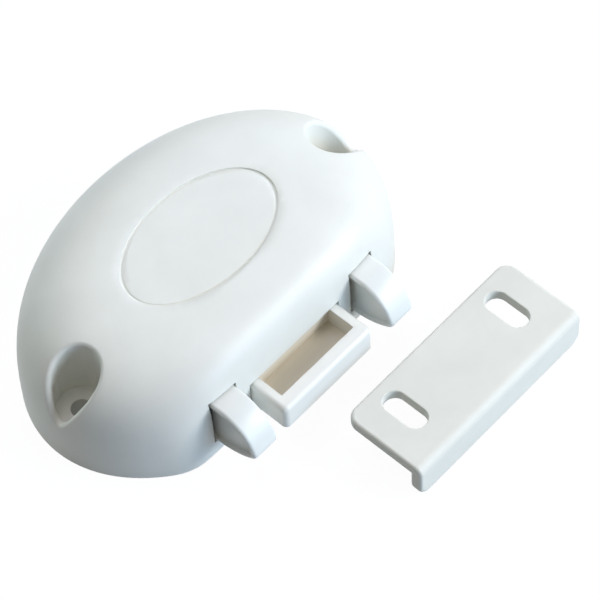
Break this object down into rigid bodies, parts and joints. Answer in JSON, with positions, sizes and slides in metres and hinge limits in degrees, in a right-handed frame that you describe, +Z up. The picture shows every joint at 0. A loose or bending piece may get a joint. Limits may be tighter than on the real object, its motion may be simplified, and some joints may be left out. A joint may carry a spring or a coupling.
{
  "type": "cabinet latch",
  "caption": "White plastic slam latch with a domed oval cover, sprung cam bolts and a finger slide between them, shown with its slotted angle keeper.",
  "frame": {"origin": "midway between the two screw holes, on the face that rests on the door", "axes": "+X along the latch from the left bolt to the right bolt, -Y the way the bolts stick out, +Z up from the door out of the domed cover"},
  "size_m": [0.092, 0.0965, 0.0274],
  "materials": {
    "cover_plastic": "fine satin, moulded",
    "bolt_plastic": "smooth, moulded",
    "slide_plastic": "smooth, moulded",
    "keeper_plastic": "fine satin, moulded",
    "inner_plastic": "satin, moulded",
    "bar_steel": "rolled strip",
    "spring_steel": "drawn wire",
    "pin_steel": "ground",
    "screw_steel": "zinc plated"
  },
  "bodies": {
    "housing": {"cover": "cover_plastic", "base_plate": "inner_plastic", "bolt_bridge": "inner_plastic", "cover_screws": "screw_steel", "bridge_screws": "screw_steel", "left_spring_pin": "pin_steel", "right_spring_pin": "pin_steel", "slide_spring_pin": "pin_steel", "left_bolt_spring": "spring_steel", "right_bolt_spring": "spring_steel", "slide_spring": "spring_steel"},
    "release": {"release_slide": "slide_plastic", "drive_bar": "bar_steel"},
    "left_latch_bolt": {"left_bolt": "bolt_plastic"},
    "right_latch_bolt": {"right_bolt": "bolt_plastic"},
    "loose_keeper": {"keeper": "keeper_plastic"}
  },
  "joints": [
    {"name": "release_travel", "type": "slide", "parent": "housing", "child": "release", "axis": [0, 1, 0], "range_m": [0, 0.0095], "stiffness_N_per_m": 900, "springref_m": -0.003, "deforming": ["slide_spring"]},
    {"name": "left_bolt_travel", "type": "slide", "parent": "housing", "child": "left_latch_bolt", "axis": [0, 1, 0], "range_m": [0, 0.0095], "stiffness_N_per_m": 1350, "springref_m": -0.003, "deforming": ["left_bolt_spring"]},
    {"name": "right_bolt_travel", "type": "slide", "parent": "housing", "child": "right_latch_bolt", "axis": [0, 1, 0], "range_m": [0, 0.0095], "stiffness_N_per_m": 1350, "springref_m": -0.003, "deforming": ["right_bolt_spring"]},
    {"name": "keeper_lift", "type": "slide", "parent": "housing", "child": "loose_keeper", "axis": [0, 0, 1], "range_m": [0, 0.03]}
  ],
  "couplings": [
    {"joint": "left_bolt_travel", "follows": "release_travel", "ratio": 1},
    {"joint": "right_bolt_travel", "follows": "release_travel", "ratio": 1}
  ]
}
